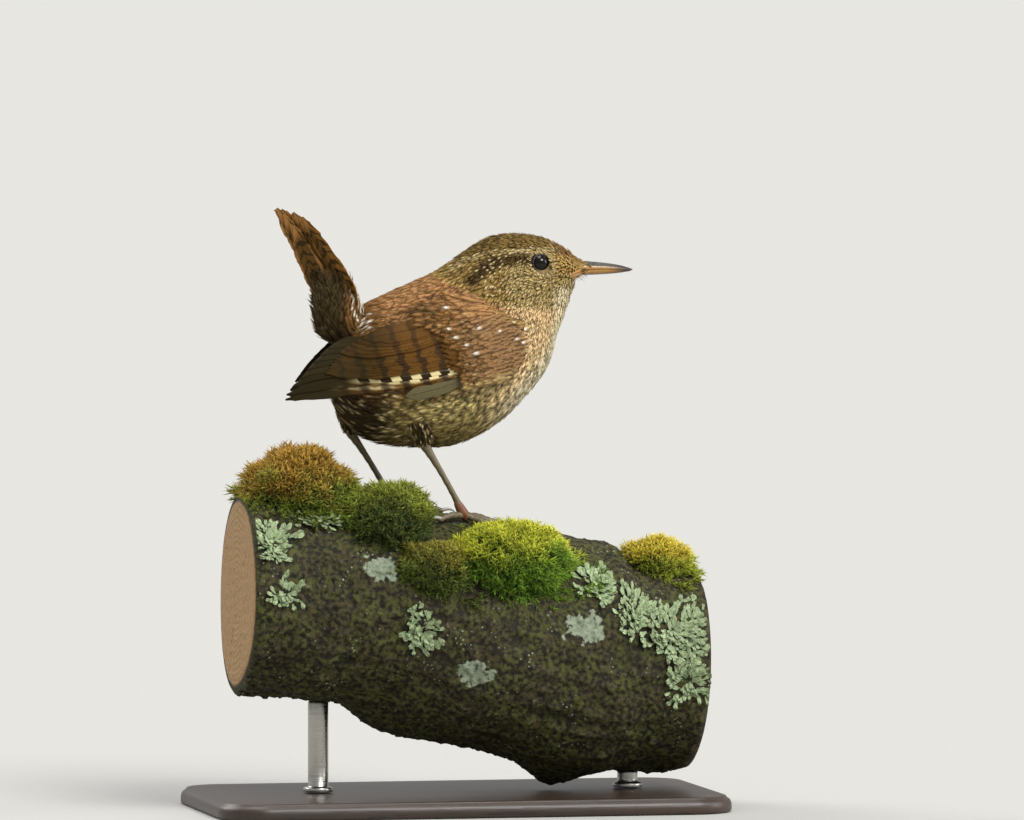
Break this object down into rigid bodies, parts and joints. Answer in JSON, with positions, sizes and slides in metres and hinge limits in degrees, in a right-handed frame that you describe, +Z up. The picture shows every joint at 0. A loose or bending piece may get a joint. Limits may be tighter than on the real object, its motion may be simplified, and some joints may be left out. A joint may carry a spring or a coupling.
{
  "type": "life-size wren model on a cut mossy branch with a display stand",
  "caption": "Small brown wren with barred wings and cocked tail, standing on a short cut mossy branch that two rods hold over a flat base.",
  "frame": {"origin": "on the floor, at the middle of the underside of the stand's base", "axes": "+Z up, +X the way the bird faces, along the branch; +Y towards the bird's left side"},
  "size_m": [0.112, 0.062, 0.1296],
  "materials": {
    "plumage_head": "matte feathers",
    "plumage_body": "matte feathers",
    "flight_feathers": "satin feathers",
    "bill_horn": "satin horn",
    "bill_gape": "satin horn",
    "eye": "glossy, wet",
    "leg_skin": "satin scales",
    "claw": "satin horn",
    "bark": "rough bark with lichen",
    "moss": "soft, matte",
    "base_wood": "satin varnish",
    "rod_steel": "brushed"
  },
  "bodies": {
    "root": {"head": "plumage_head", "neck": "plumage_body", "torso": "plumage_body", "tail_root": "plumage_body", "tail": "flight_feathers", "bill_upper": "bill_horn", "bill_lower": "bill_gape", "wing_right": "flight_feathers", "eye_right": "eye", "thigh_right": "plumage_body", "shank_right": "leg_skin", "foot_right": "leg_skin", "claw_right_hallux": "claw", "claw_right_inner": "claw", "claw_right_middle": "claw", "claw_right_outer": "claw", "wing_left": "flight_feathers", "eye_left": "eye", "thigh_left": "plumage_body", "shank_left": "leg_skin", "foot_left": "leg_skin", "claw_left_hallux": "claw", "claw_left_inner": "claw", "claw_left_middle": "claw", "claw_left_outer": "claw", "perch_branch": "bark", "perch_moss_mound": "moss", "perch_moss_dark": "moss", "perch_moss_bright": "moss", "perch_moss_shade": "moss", "perch_moss_tuft": "moss", "stand_base": "base_wood", "stand_rod_rear": "rod_steel", "stand_rod_front": "rod_steel"}
  },
  "joints": []
}
